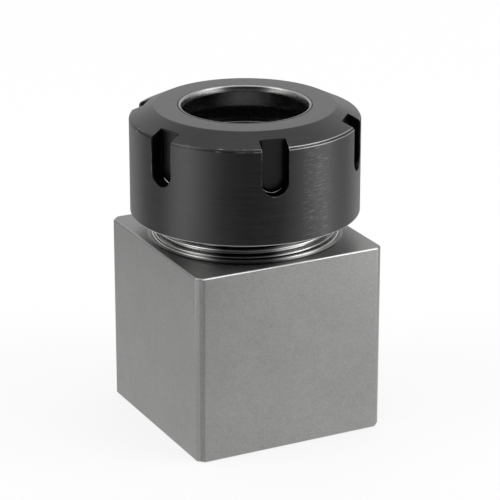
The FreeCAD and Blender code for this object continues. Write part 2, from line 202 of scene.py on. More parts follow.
# %% Bench
class Bench:
    """A node tree being wired."""

    def __init__(self, tree):
        self.tree = tree

    def node(self, kind, settings=None, inputs=None, output=0):
        """Adds a node, sets it up, feeds its sockets and returns one of its outputs, if it has any."""
        made = self.tree.nodes.new(kind)
        for name, value in (settings or {}).items():
            if name == "stops":
                self.set_stops(made.color_ramp, value)
            else:
                setattr(made, name, value)
        for name, value in (inputs or {}).items():
            if isinstance(value, Wire):
                self.tree.links.new(value.socket, made.inputs[name])
            else:
                made.inputs[name].default_value = value
        return Wire(self, made.outputs[output]) if made.outputs else None

    def all_outputs(self, kind, inputs=None):
        """Adds a node and returns all its outputs, by name."""
        first = self.node(kind, {}, inputs)
        return {socket.name: Wire(self, socket) for socket in first.socket.node.outputs if socket.name}

    def set_stops(self, ramp, stops):
        while len(ramp.elements) < len(stops):
            ramp.elements.new(1.0)
        for element, (place, tone) in zip(ramp.elements, stops):
            element.position = place
            element.color = (tone, tone, tone, 1)

    def maths(self, operation, *values):
        return self.node("ShaderNodeMath", {"operation": operation}, dict(enumerate(values)))

    def between(self, wire, low, high):
        """0 at low and 1 at high, smooth between them; low may be the larger of the two."""
        limits = {"Value": wire, "From Min": low, "From Max": high}
        return self.node("ShaderNodeMapRange", {"interpolation_type": "SMOOTHSTEP"}, limits)

    def mix_colour(self, factor, first, second):
        tones = {0: factor, 6: first, 7: second}
        return self.node("ShaderNodeMix", {"data_type": "RGBA"}, tones, output=2)

    def mix_number(self, factor, first, second):
        return self.node("ShaderNodeMix", {}, {0: factor, 2: first, 3: second})

    def mix_shader(self, factor, first, second):
        return self.node("ShaderNodeMixShader", {}, {0: factor, 1: first, 2: second})

    def grain(self, place, scale, detail=2.0, roughness=0.5):
        settings = {"Vector": place, "Scale": scale, "Detail": detail, "Roughness": roughness}
        return self.node("ShaderNodeTexNoise", {}, settings)

    def vector(self, x, y, z):
        return self.node("ShaderNodeCombineXYZ", {}, {0: x, 1: y, 2: z})

    def length(self, x, y):
        flat = self.vector(x, y, 0.0)
        return self.node("ShaderNodeVectorMath", {"operation": "LENGTH"}, {0: flat}, output=1)

    def parts_of(self, vector):
        return self.all_outputs("ShaderNodeSeparateXYZ", {0: vector}).values()

    def tint(self, grey, green=1.0, blue=1.0):
        """A colour from a grey, with its green and blue a little weaker or stronger."""
        return self.node("ShaderNodeCombineColor", {}, {0: grey, 1: grey * green, 2: grey * blue})

    def surface(self, colour, metallic, roughness, height=None):
        """The Principled shader, with a bump from a height in millimetres."""
        sockets = {"Base Color": colour, "Metallic": metallic, "Roughness": roughness}
        if height is not None:
            bump = {"Strength": 1.0, "Distance": MM, "Height": height}
            sockets["Normal"] = self.node("ShaderNodeBump", {}, bump)
        return self.node("ShaderNodeBsdfPrincipled", {}, sockets)


print("a bench adds all nodes")

# %% [markdown]
# ## Where a finish is read
# Every finish asks how high a point lies, how far from the axis, and which way round. The answers
# come from Object coordinates, so a pattern stays on its piece when the piece moves. A zone on a
# round wall is given by its angle round the axis, from +X towards +Y, and by how far it reaches.

# %% Starting and ending a finish
def new_finish(name):
    """An empty material and the bench to wire it on."""
    material = bpy.data.materials.new(name)
    material.use_nodes = True
    material.node_tree.nodes.clear()
    return material, Bench(material.node_tree)


def send_out(bench, shader, kind="ShaderNodeOutputMaterial"):
    """Ends a material's or the world's tree."""
    bench.node(kind, {}, {"Surface": shader})


class Spot:
    """The point that is being coloured, in millimetres on its piece."""

    def __init__(self, bench):
        self.bench = bench
        coordinates = bench.node("ShaderNodeTexCoord", output=3)
        self.place = bench.node("ShaderNodeVectorMath", {"operation": "SCALE"}, {0: coordinates, 3: 1 / MM})
        self.x, self.y, self.z = bench.parts_of(self.place)
        self.radius = bench.length(self.x, self.y)


def towards(spot, angle):
    """The cosine between the way a round wall faces and an angle in degrees."""
    way = math.radians(angle)
    return (spot.x * math.cos(way) + spot.y * math.sin(way)) / spot.radius


def zone(spot, angle, full, none):
    """1 within so many degrees of an angle, and 0 past a wider limit."""
    limits = [math.cos(math.radians(limit)) for limit in (none, full)]
    return spot.bench.between(towards(spot, angle), *limits)


def sway(noise, amount):
    """Noise swings round 0.5; this makes it swing round 0, by an amount."""
    return (noise - 0.5) * amount


print("ready to wire finishes")

# %% [markdown]
# ## A finish for turned metal
# A lathe leaves fine rings round the axis. On the side of a cylinder they show as level lines, on a
# flat face as circles. One trick gives both: noise is read at a point whose first two coordinates are
# radius and height, stretched many times against the third, the way round. Neighbouring rings then
# differ, and a ring only changes slowly along its length.

# %% Turning marks
MEAN_RADIUS = 20.0


def turning_marks(spot, pitch, run):
    """Noise from 0 to 1 in rings a pitch apart, each changing over a run in millimetres."""
    bench = spot.bench
    angle = bench.maths("ARCTAN2", spot.y, spot.x)
    way_round = bench.maths("SINE", angle * 0.5) * (2 * MEAN_RADIUS / run)
    stretched = bench.vector(spot.radius * (1 / pitch), spot.z * (1 / pitch), way_round)
    return bench.grain(stretched, 1.0, 2.0, 0.6)


print("turning marks are noise in rings")

# %% [markdown]
# ## Ground steel
# The block is hardened and ground. Its sides are a flat mid grey: rough enough that no reflection has
# an edge, with a fine grain and faint cloudy patches. The four upright corners were only knocked off
# on a belt, so they are darker and streaky. The rim of the upper face is bright, and on the two faces
# towards +Y and -Y it is painted brighter still: a painted highlight. The nose and collar were turned
# and are smoother, and the thread's crests are the brightest steel. Light and shade are also painted
# by zone: the collar's side is painted dark, the neck darker where it faces the camera and lighter to
# the right of that, the collar darker on its left, and the upper face lighter in front of the collar.
# Such zones are found by height, radius and angle. Metallic stays at 1 and the grey is the colour of
# the reflection.

# %% The zones of the block
# Angles round the axis, from +X towards +Y, of zones where light and shade are painted on the block.
LIT_FRONT_ANGLE = -112.938
SHADED_NECK_ANGLE = -116.938
HIGHLIT_NECK_ANGLE = -68.938
SHADED_COLLAR_ANGLE = -153.938


def block_zones(spot):
    """Masks from 0 to 1 for the parts of the block that were made in different ways, and for zones where
    light and shade are painted.
    """
    bench, z = spot.bench, spot.z
    far_x = bench.maths("ABSOLUTE", spot.x)
    far_y = bench.maths("ABSOLUTE", spot.y)
    corner_sum = 2 * BLOCK_HALF - CORNER_FLAT
    upright = bench.between(far_x + far_y, corner_sum - 0.1, corner_sum + 0.1)
    outermost = bench.between(bench.maths("MAXIMUM", far_x, far_y), BLOCK_HALF - 0.425, BLOCK_HALF - 0.355)
    at_rim = bench.between(z, BLOCK_TOP - 0.34, BLOCK_TOP - 0.26)
    inside = bench.between(spot.radius, TAPER_MOUTH + 0.3, TAPER_MOUTH)
    turned = bench.maths("MAXIMUM", bench.between(z, BLOCK_TOP + 0.03, BLOCK_TOP + 0.12), inside)
    neck = turned * (1.0 - inside)
    crest = bench.between(spot.radius, CREST - 0.2, CREST - 0.07)
    return {
        "corner": upright * bench.between(z, BLOCK_TOP - 0.05, BLOCK_TOP - 0.2),
        "corner side": bench.between(far_x - far_y, -0.05, 0.3),
        "rim": at_rim * outermost * bench.between(z, BLOCK_TOP + 0.05, BLOCK_TOP + 0.02),
        "lit rim side": bench.between(far_y - far_x, -0.3, 0.3),
        "upper face": bench.between(z, BLOCK_TOP - 0.3, BLOCK_TOP - 0.05),
        "painted light on top": zone(spot, LIT_FRONT_ANGLE, 14, 40) * bench.between(z, BLOCK_TOP - 0.1, BLOCK_TOP - 0.02),
        "turned": turned,
        "crest": crest * bench.between(z, BLOCK_TOP + 0.6, BLOCK_TOP + 0.75),
        "collar": bench.between(z, COLLAR_TOP - 0.28, COLLAR_TOP - 0.48) * neck,
        "painted shade on neck": zone(spot, SHADED_NECK_ANGLE, 10, 24) * neck,
        "polished": zone(spot, HIGHLIT_NECK_ANGLE, 12, 28) * neck,
        "painted shade on collar": zone(spot, SHADED_COLLAR_ANGLE, 10, 22),
    }


print("the block's zones are masks")

# %% The block's finish
def make_block_steel():
    material, bench = new_finish("ground_block_steel")
    spot = Spot(bench)
    mask = block_zones(spot)
    clouds = bench.grain(spot.place, 0.11, 3.0, 0.55)
    blotches = bench.grain(spot.place, 0.45, 4.0, 0.6)
    grit = bench.grain(spot.place, 2.4, 3.0, 0.75)
    streaks = bench.grain(bench.vector(spot.x * 3.0, spot.y * 3.0, spot.z * 0.5), 1.0, 4.0, 0.7)
    marks = turning_marks(spot, 0.16, 30.0)

    grey = 0.302 + sway(clouds, 0.05) + sway(blotches, 0.055) + sway(grit, 0.17)
    grey = bench.mix_number(mask["corner"], grey, 0.18 + mask["corner side"] * 0.12 + sway(streaks, 0.25))
    # The upper face in front of the collar, on the camera's side, is painted lighter: a painted highlight.
    grey = grey * (1.0 + mask["painted light on top"] * 0.6)
    # On the faces towards +Y and -Y the rim is painted lighter than on the others: a painted highlight.
    grey = bench.mix_number(mask["rim"], grey, 0.38 + mask["lit rim side"] * 0.3 + sway(blotches, 0.2))
    grey = bench.mix_number(mask["turned"], grey, 0.4 + sway(marks, 0.1))
    grey = bench.mix_number(mask["crest"], grey, 0.53 + sway(marks, 0.2))
    # The collar's side, in the corner above the block's upper face, is painted dark: a painted shade.
    grey = bench.mix_number(mask["collar"], grey, 0.15 + sway(marks, 0.06))
    # Painted shade darkens the neck where it faces the camera, and a painted highlight lightens it to the
    # right of that.
    grey = grey * (1.0 - mask["painted shade on neck"] * 0.6) * (1.0 + mask["polished"] * 0.3)
    # Painted shade darkens the collar on its left, and a painted highlight lightens it on the right.
    grey = grey * (1.0 - mask["painted shade on collar"] * mask["collar"] * 0.4) + mask["polished"] * mask["collar"] * 0.12

    roughness = 0.4 + sway(blotches, 0.12) + sway(grit, 0.08)
    roughness = bench.mix_number(mask["upper face"], roughness, 0.44 + sway(blotches, 0.12))
    roughness = bench.mix_number(mask["corner"], roughness, 0.42)
    roughness = bench.mix_number(mask["turned"], roughness, 0.13 + mask["collar"] * 0.2 + sway(marks, 0.06))
    height = grit * 0.006 + blotches * 0.004
    height = bench.mix_number(mask["corner"], height, streaks * 0.05)
    height = bench.mix_number(mask["turned"], height, marks * 0.002)
    send_out(bench, bench.surface(bench.tint(grey, 0.995, 0.985), 1.0, roughness, height))
    return material


block_steel = make_block_steel()
print("made", block_steel.name, "with", len(block_steel.node_tree.nodes), "nodes")

# %% [markdown]
# ## Blackened steel
# The nut is blackened: a thin oxide film that is nearly black but has the mild gloss of oil. Metallic
# is therefore 0, a dark base colour does the black, and the gloss comes from the surface's own
# reflection, which grows towards the edges of the round. The turning rings still show under the
# film. On one side of the barrel, short pale streaks along the rings are painted on: a painted
# highlight. Where an edge rubs, the film is gone and bare steel shows: the mesh carries an attribute
# called wear for that, and cloudy patches decide where it wins. On the shoulder, part
# of that bare steel is a painted highlight. The insides of the slots are painted darker, and near
# their walls and foot they are mixed with a matt, nearly black shader: painted shade in the recesses.

# %% Where a slot is
# The side of the nut, as an angle round the axis, where highlights are painted on the barrel and the
# shoulder.
LIT_SIDE_ANGLE = -79.5


def slot_measures(spot):
    """A mask of the slots' inside, and the distance in millimetres from a slot's middle line."""
    bench = spot.bench
    cone_slope = SHOULDER_DROP / (NUT_RADIUS - FLAT_RADIUS)
    cone_height = FRONT - (spot.radius - FLAT_RADIUS) * cone_slope
    in_slot = (bench.between(spot.radius, NUT_RADIUS - 0.35, NUT_RADIUS - 0.6)
               * bench.between(spot.radius, SLOT_FLOOR - 0.15, SLOT_FLOOR - 0.05)
               * bench.between(cone_height - spot.z, 0.12, 0.4)
               * bench.between(spot.z, SLOT_FOOT - 0.5, SLOT_FOOT - 0.2))
    turn = bench.maths("ARCTAN2", spot.y, spot.x) - math.radians(SLOT_ANGLE)
    slots_on = turn * (SLOT_COUNT / (2 * math.pi))
    from_slot = (slots_on - bench.maths("ROUND", slots_on)) * (2 * math.pi / SLOT_COUNT)
    across = spot.radius * bench.maths("SINE", from_slot)
    below_round = bench.maths("MINIMUM", spot.z - (SLOT_FOOT + SLOT_WIDTH / 2), 0.0)
    return in_slot, bench.length(across, below_round)


print("a slot every", 360 / SLOT_COUNT, "degrees, from", SLOT_ANGLE)

# %% The nut's finish
def make_black_steel():
    material, bench = new_finish("blackened_steel")
    spot = Spot(bench)
    marks = turning_marks(spot, 0.4, 5.0)
    broad = turning_marks(spot, 0.9, 60.0)
    patches = bench.grain(spot.place, 0.35, 3.0, 0.6)
    grit = bench.grain(spot.place, 7.0, 2.0, 0.7)
    # Bare steel shows where edges are worn; on the shoulder's lit side it is bared further as a painted
    # highlight.
    wear = bench.node("ShaderNodeAttribute", {"attribute_name": "wear"}, output=2)
    bare_and_highlight = bench.between(wear + sway(patches, 0.9), 0.55, 0.95)

    flat = bench.between(spot.z, FRONT - 0.1, FRONT - 0.03)
    black = 0.007 + sway(patches, 0.004) + (marks - 0.5) * (0.012 + flat * 0.022) + flat * 0.03
    barrel = bench.between(spot.radius, NUT_RADIUS - 0.08, NUT_RADIUS - 0.03)
    # On the lit side of the barrel, pale streaks along the turning rings are painted on: a painted highlight.
    glint_band = barrel * bench.between(towards(spot, LIT_SIDE_ANGLE), 0.986, 0.995)
    glinting_ripples = bench.between(turning_marks(spot, 0.26, 1.3), 0.52, 0.62)
    black = black + glinting_ripples * glint_band * 0.06
    in_slot, off_middle = slot_measures(spot)
    # The insides of the slots are painted darker, and near their walls and foot a matt black shader is mixed
    # in: painted shade in the recesses.
    black = bench.mix_number(in_slot, black, 0.003)
    at_wall = bench.between(off_middle, SLOT_WIDTH / 2 - 1.2, SLOT_WIDTH / 2 - 0.3)
    slot_shade = in_slot * at_wall * (1.0 - bare_and_highlight) * 0.85

    grey = bench.mix_number(bare_and_highlight, black, 0.4)
    roughness = 0.3 + sway(marks, 0.12) + sway(patches, 0.08)
    height = marks * 0.025 + broad * 0.006 + grit * 0.0006
    blackened = bench.surface(bench.tint(grey, 1.0, 1.02), bare_and_highlight * 0.9, roughness, height)
    shade_surface = bench.node("ShaderNodeBsdfPrincipled", {}, {
        "Base Color": (0.002, 0.002, 0.002, 1.0), "Roughness": 0.8, "Specular IOR Level": 0.0})
    send_out(bench, bench.mix_shader(slot_shade, blackened, shade_surface))
    return material


black_steel = make_black_steel()
print("made", black_steel.name, "with", len(black_steel.node_tree.nodes), "nodes")

# %% [markdown]
# ## The ring, the balls and the plug
# The pressure ring is black as well, but the chamfer round its opening and the short land below it
# are ground bright and rubbed bare by every collet that goes in. A mask by radius and height finds
# them. The chamfer is duller than the land, and the land is brightest at its foot. Its back, across
# the opening from the camera, is painted darker: a painted shade. The balls have a high polish, and
# the plug is as black as the nut it closes.

# %% The ring's finish
SHADED_BACK_ANGLE = 63.062


def make_ring_steel():
    material, bench = new_finish("ring_steel_and_black")
    spot = Spot(bench)
    marks = turning_marks(spot, 0.15, 25.0)
    smudges = bench.grain(spot.place, 0.5, 3.0, 0.6)
    mouth_foot = FRONT - MOUTH_DEPTH
    mouth_rim = OPENING_RADIUS + OPENING_CHAMFER
    near_front = bench.between(spot.z, mouth_foot - 0.1, mouth_foot + 0.05)
    bare = near_front * bench.between(spot.radius, mouth_rim + 0.2, mouth_rim + 0.1)
    chamfer = bench.between(spot.z, FRONT - 0.32, FRONT - 0.2)
    low_land = bench.between(spot.z, FRONT - 0.6, FRONT - 1.0)
    # The back of the land, across the opening from the camera, is painted darker: a painted shade.
    back_shade = zone(spot, SHADED_BACK_ANGLE, 10, 26) * (1.0 - chamfer)

    black = 0.008 + sway(smudges, 0.006) + sway(marks, 0.004)
    bright = 0.66 - chamfer * 0.28 + sway(marks, 0.25) + sway(smudges, 0.12)
    bright = (bright + low_land * 0.3) * (1.0 - back_shade * 0.7)
    grey = bench.mix_number(bare, black, bright)
    roughness = 0.26 + sway(smudges, 0.1) + sway(marks, 0.08)
    send_out(bench, bench.surface(bench.tint(grey, 0.995, 0.985), bare, roughness, marks * 0.002))
    return material


ring_steel = make_ring_steel()
print("made", ring_steel.name, "with", len(ring_steel.node_tree.nodes), "nodes")

# %% The balls' and the plug's finishes
def make_small_part_steel(name, metallic, tone, rough):
    material, bench = new_finish(name)
    smudges = bench.grain(Spot(bench).place, 0.8, 3.0, 0.6)
    grey = tone * (1.0 + sway(smudges, 0.3))
    send_out(bench, bench.surface(bench.tint(grey), metallic, rough + sway(smudges, 0.08)))
    return material


ball_steel = make_small_part_steel("polished_ball_steel", 1.0, 0.72, 0.1)
plug_steel = make_small_part_steel("plug_end_black", 0.0, 0.01, 0.35)
print("made", ball_steel.name, plug_steel.name)

# %% [markdown]
# ## Turned and squared shapes from loops
# A lathe part is a stack of rings, one for each corner of its profile. Joining neighbouring rings
# with faces gives the skin, and joining the last to the first closes it round the bore. Some of the
# block's loops are squares with clipped corners. All loops of a piece have the same number of points,
# so a square can be joined straight to a circle.

# %% Loops and skins
def even_angles(count, start=0.0):
    return [start + 2 * math.pi * index / count for index in range(count)]


def turned_loops(profile, angles, offset=(0.0, 0.0)):
    """A round loop for each radius and height of a profile."""
    across, along = offset
    return [[(across + radius * math.cos(a), along + radius * math.sin(a), height) for a in angles]
            for radius, height in profile]


def arc(centre_radius, centre_height, radius, start, end, steps):
    """Corners of a profile along an arc, from one angle to another, in degrees."""
    sweep = [math.radians(start + (end - start) * index / steps) for index in range(steps + 1)]
    return [(centre_radius + radius * math.cos(a), centre_height + radius * math.sin(a)) for a in sweep]


def rework(mesh, change):
    """Opens a mesh, lets a function change it, and writes it back."""
    work = bmesh.new()
    work.from_mesh(mesh)
    found = change(work)
    work.to_mesh(mesh)
    work.free()
    return found


def turn_outwards(work):
    bmesh.ops.recalc_face_normals(work, faces=work.faces)


def weld(work):
    bmesh.ops.remove_doubles(work, verts=work.verts, dist=1e-7)
    turn_outwards(work)


def skin(name, loops):
    """A closed mesh through the loops, the last joined to the first, with its faces outwards."""
    mesh = bpy.data.meshes.new(name)
    count = len(loops[0])
    points = [[v * MM for v in point] for loop in loops for point in loop]
    faces = []
    for level in range(len(loops)):
        above = (level + 1) % len(loops)
        for index in range(count):
            after = (index + 1) % count
            faces.append((level * count + index, level * count + after,
                          above * count + after, above * count + index))
    mesh.from_pydata(points, [], faces)
    rework(mesh, weld)
    return new_object(name, mesh)


def spans(piece):
    """A piece's range of radius and of height, in words."""
    radii = [v.co.xy.length / MM for v in piece.data.vertices]
    heights = [v.co.z / MM for v in piece.data.vertices]
    return f"radius {min(radii):.2f} to {max(radii):.2f}, height {min(heights):.2f} to {max(heights):.2f} mm"


print("a skin joins loops of equal count")

# %% [markdown]
# ## Broken edges
# No edge on a real part is perfectly sharp: a bevel of about a tenth of a millimetre catches the
# light as a thin line, and that line is most of what makes metal look like metal. The Bevel modifier
# makes it wherever two faces meet at an angle. Weighted normals then keep the big faces flat. The
# result is turned into a plain mesh, so that nothing is left for a later step to work out.

# %% Finishing a mesh
def settle(piece, material):
    """Works out the piece's modifiers, leaves a plain mesh and gives it one material."""
    depsgraph = bpy.context.evaluated_depsgraph_get()
    mesh = bpy.data.meshes.new_from_object(piece.evaluated_get(depsgraph), preserve_all_data_layers=True,
                                           depsgraph=depsgraph)
    piece.modifiers.clear()
    piece.data = mesh
    mesh.materials.clear()
    mesh.materials.append(material)
    return piece


def shade(piece, material):
    """Shades the piece smoothly, with every large face still looking flat."""
    piece.data.shade_smooth()
    normals = piece.modifiers.new("normals", "WEIGHTED_NORMAL")
    normals.keep_sharp = True
    normals.weight = 100
    return settle(piece, material)


def soften(piece, material, width, angle=28.0, clamp=True):
    """Breaks every edge sharper than an angle, to a width in millimetres, and shades the piece."""
    bevel = piece.modifiers.new("edges", "BEVEL")
    bevel.width = width * MM
    bevel.segments = 2
    bevel.limit_method = "ANGLE"
    bevel.angle_limit = math.radians(angle)
    bevel.use_clamp_overlap = clamp
    return shade(piece, material)


def join(parts, name):
    """Makes one object of several, keeping the first one's place."""
    with bpy.context.temp_override(active_object=parts[0], selected_editable_objects=parts):
        bpy.ops.object.join()
    parts[0].name = name
    return parts[0]


print("edges are broken with a bevel and weighted normals")

# %% [markdown]
# ## The block
# The outside goes up the square, in over the upper face, round the fillet and collar and up the
# thread's root to the front of the nose. The inside comes back down the collet taper and the bore.
# Every end of a side is a point of the square's loops, so the clipped corners stay crisp.

# %% The block's loops
def square_loop(half, flat, height, side_steps=44, flat_steps=2):
    """A square with clipped corners; its points start at the end of the +X side that is next to -Y."""
    side = [(half, -(half - flat) + 2 * (half - flat) * i / side_steps) for i in range(side_steps)]
    clip = [(half - flat * i / flat_steps, half - flat + flat * i / flat_steps) for i in range(flat_steps)]
    points = []
    for c, s in ((1, 0), (0, 1), (-1, 0), (0, -1)):
        points += [(x * c - y * s, x * s + y * c, height) for x, y in side + clip]
    return points


inner_half = BLOCK_HALF - RIM
inner_flat = CORNER_FLAT - RIM * (2 - math.sqrt(2))
square_loops = [
    square_loop(inner_half, inner_flat, 0.0),
    square_loop(BLOCK_HALF, CORNER_FLAT, RIM),
    square_loop(BLOCK_HALF, CORNER_FLAT, BLOCK_TOP - RIM),
    square_loop(inner_half, inner_flat, BLOCK_TOP),
]
square_angles = [math.atan2(y, x) for x, y, _ in square_loops[1]]
print("the square has", len(square_angles), "points on each loop")

# %% The block's profile
fillet = [(COLLAR_RADIUS + reach * FILLET_REACH, BLOCK_TOP + rise * COLLAR_FILLET)
          for reach, rise in arc(1.0, 1.0, 1.0, 270, 180, 10)]
collar = arc(COLLAR_RADIUS - COLLAR_ROUND, COLLAR_TOP - COLLAR_ROUND, COLLAR_ROUND, 0, 90, 6)
nose = [(ROOT, COLLAR_TOP), (ROOT, NOSE_TOP - NOSE_CHAMFER_HEIGHT), (ROOT - NOSE_CHAMFER_WIDTH, NOSE_TOP)]
bore = [(TAPER_MOUTH, NOSE_TOP), (BORE_RADIUS, TAPER_FOOT), (BORE_RADIUS, BORE_CHAMFER)]
block_loops = turned_loops([(BORE_RADIUS + BORE_CHAMFER, 0.0)], square_angles)
block_loops += square_loops + turned_loops(fillet + collar + nose + bore, square_angles)
block = skin("block", block_loops)
print("block:", len(block.data.polygons), "faces from", len(block_loops), "loops")

# %% [markdown]
# ## The screw thread
# A thread is one ridge wound round a cylinder, so it is made the way Geometry Nodes like it: a spiral
# curve, a trapezium for the ridge's section, and Curve to Mesh to sweep one along the other. With its
# normals set to point up, the section never rolls. The ridge shrinks to nothing over its last half
# turn, which is how a real thread runs out. The sizes are inputs of the tree, so the same tree cuts
# the nose's thread outwards and the nut's thread inwards.

# %% Opening and closing a node tree
def open_tree(name, sizes):
    """A tree with a number input for each size and a material input; returns bench and inputs."""
    tree = bpy.data.node_groups.new(name, "GeometryNodeTree")
    tree.interface.new_socket("Geometry", in_out="OUTPUT", socket_type="NodeSocketGeometry")
    for size in sizes:
        kind = "NodeSocketInt" if size == "Count" else "NodeSocketFloat"
        tree.interface.new_socket(size, in_out="INPUT", socket_type=kind)
    tree.interface.new_socket("Material", in_out="INPUT", socket_type="NodeSocketMaterial")
    bench = Bench(tree)
    return bench, bench.all_outputs("NodeGroupInput")


def close_tree(bench, made, size):
    """Makes real mesh of all instances, gives it the material, ends the tree and returns it."""
    real = bench.node("GeometryNodeRealizeInstances", {}, {0: made})
    real = bench.node("GeometryNodeSetMaterial", {}, {"Geometry": real, "Material": size["Material"]})
    bench.node("NodeGroupOutput", {}, {0: real})
    return bench.tree


def grow(name, tree, material, sizes):
    """Runs a node tree on an empty mesh and returns what it makes as a plain object."""
    made = new_object(name, bpy.data.meshes.new(name))
    modifier = made.modifiers.new(name, "NODES")
    modifier.node_group = tree
    for item in tree.interface.items_tree:
        if item.in_out == "INPUT":
            modifier[item.identifier] = material if item.name == "Material" else sizes[item.name]
    return settle(made, material)


print("node trees take named sizes")

# %% The thread's node tree
def make_thread_tree():
    bench, size = open_tree("screw_thread", (
        "Radius", "Pitch", "Turns", "Start height", "Foot width", "Crest width", "Depth", "Edge rounding",
        "Run out turns", "Facing"))
    spiral = bench.node("GeometryNodeCurveSpiral", {}, {
        "Resolution": 120, "Rotations": size["Turns"], "Start Radius": size["Radius"],
        "End Radius": size["Radius"], "Height": size["Pitch"] * size["Turns"], "Reverse": True})
    lift = bench.vector(0.0, 0.0, size["Start height"])
    path = bench.node("GeometryNodeTransform", {}, {"Geometry": spiral, "Translation": lift})
    path = bench.node("GeometryNodeSetCurveNormal", {"mode": "Z_UP"}, {"Curve": path})
    along = bench.node("GeometryNodeSplineParameter")
    left = (1.0 - along) * size["Turns"] / size["Run out turns"]
    fade = bench.maths("MINIMUM", left, 1.0)
    section = bench.node("GeometryNodeCurvePrimitiveQuadrilateral", {"mode": "TRAPEZOID"}, {
        "Bottom Width": size["Foot width"], "Top Width": size["Crest width"], "Offset": 0.0,
        "Height": size["Depth"]})
    section = bench.node("GeometryNodeFilletCurve", {"mode": "POLY"}, {
        "Curve": section, "Count": 4, "Radius": size["Edge rounding"], "Limit Radius": True})
    foot_on_path = bench.vector(0.0, size["Depth"] * 0.5, 0.0)
    section = bench.node("GeometryNodeTransform", {}, {"Geometry": section, "Translation": foot_on_path})
    facing = bench.vector(0.0, 0.0, size["Facing"])
    section = bench.node("GeometryNodeTransform", {}, {"Geometry": section, "Rotation": facing})
    ridge = bench.node("GeometryNodeCurveToMesh", {}, {
        "Curve": path, "Profile Curve": section, "Scale": fade, "Fill Caps": True})
    return close_tree(bench, ridge, size)


thread_tree = make_thread_tree()
print("the thread's tree has", len(thread_tree.nodes), "nodes")

# %% [markdown]
# The ridge starts a little inside the wall it stands on, so that no gap can open between them. The
# block's edges are broken first, and only then is the thread joined to it: a bevel on the ridge would
# cost ten thousand faces that nobody sees.

# %% The nose's thread and the finished block
OUTWARDS = -math.pi / 2
SINK = 0.05
FOOT_WIDTH = 1.25
CREST_WIDTH = 0.4
FLANK = (FOOT_WIDTH - CREST_WIDTH) / (CREST - ROOT)


def wind_thread(name, material, turns, facing, lengths):
    """A thread's ridge as a plain object, from lengths in millimetres."""
    sizes = {what: length * MM for what, length in lengths.items()}
    sizes.update({"Pitch": PITCH * MM, "Turns": turns, "Run out turns": 0.5, "Facing": facing})
    ridge = shade(grow(name, thread_tree, material, sizes), material)
    print(name, "has", len(ridge.data.polygons), "faces,", spans(ridge))
    return ridge


nose_thread = wind_thread("nose_thread", block_steel, turns=12.5, facing=OUTWARDS, lengths={
    "Radius": ROOT - SINK, "Start height": THREAD_START, "Foot width": FOOT_WIDTH + SINK * FLANK,
    "Crest width": CREST_WIDTH, "Depth": CREST - ROOT + SINK, "Edge rounding": 0.2})
block = soften(block, block_steel, width=0.14)
block = join([block, nose_thread], "block_with_nose")
print("block:", len(block.data.polygons), "faces")

# %% [markdown]
# ## The nut's blank
# The nut is turned too: a barrel, a narrow facet where its shoulder begins, a cone up to the flat
# front, and inside it the ring's seat, the ball race, a relief and the thread. The profile runs once
# around that section. Its 180 spokes are turned so that none falls exactly on the side of a slot,
# because the slots are cut next, and a cut through the middle of a face comes out cleaner than one
# along an edge.

# %% The nut's profile
def shoulder_facet():
    """The two corners of the narrow facet between the barrel and the cone."""
    slope = math.atan2(SHOULDER_DROP, NUT_RADIUS - FLAT_RADIUS)
    height = FRONT - SHOULDER_DROP
    return [(NUT_RADIUS, height - SHOULDER_FACET),
            (NUT_RADIUS - SHOULDER_FACET * math.cos(slope), height + SHOULDER_FACET * math.sin(slope))]


def race_arc(wall_radius, side, steps=10):
    """The ball race cut into a wall, from its upper edge to its lower one."""
    edge = math.degrees(math.acos((wall_radius - BALL_CIRCLE) / RACE_RADIUS))
    start, end = (edge, -edge) if side == "outside" else (edge, 360 - edge)
    return arc(BALL_CIRCLE, RACE_HEIGHT, RACE_RADIUS, start, end, steps)


RING_BORE = RING_RADIUS + RING_GAP
OPENING_IN_NUT = NECK_RADIUS + RING_GAP
THREAD_CHAMFER = 0.5
SPOKES = 180
nut_profile = arc(NUT_RADIUS - FOOT_ROUND, NUT_BACK + FOOT_ROUND, FOOT_ROUND, 270, 360, 5)
nut_profile += shoulder_facet()
nut_profile += [(FLAT_RADIUS, FRONT), (OPENING_IN_NUT, FRONT), (OPENING_IN_NUT, NECK_FOOT + RING_GAP),
                (RING_BORE, RING_SHOULDER + RING_GAP)]
nut_profile += race_arc(RING_BORE, "outside")
nut_profile += [(RING_BORE, RELIEF_TOP), (RELIEF_RADIUS, RELIEF_TOP), (RELIEF_RADIUS, RELIEF_FOOT),
                (NUT_ROOT, RELIEF_FOOT), (NUT_ROOT, NUT_BACK + THREAD_CHAMFER),
                (NUT_ROOT + THREAD_CHAMFER, NUT_BACK)]
nut = skin("nut", turned_loops(nut_profile, even_angles(SPOKES, math.radians(SLOT_ANGLE + 1))))
print("nut blank:", len(nut.data.polygons), "faces,", spans(nut))

# %% [markdown]
# ## Six spanner slots
# Each slot is milled with a cutter as wide as the slot, fed up and out through the front, so its foot
# is round and its floor flat. The cutter's path is a stadium: a rectangle whose corners are filleted
# by half its width. Geometry Nodes sweep it outwards from the slot's floor and repeat it round the
# axis. Count and sizes are inputs. The ball filling hole in one of the slots is cut with the same
# tree, as a single round cutter. The boolean then takes all of them out of the blank.

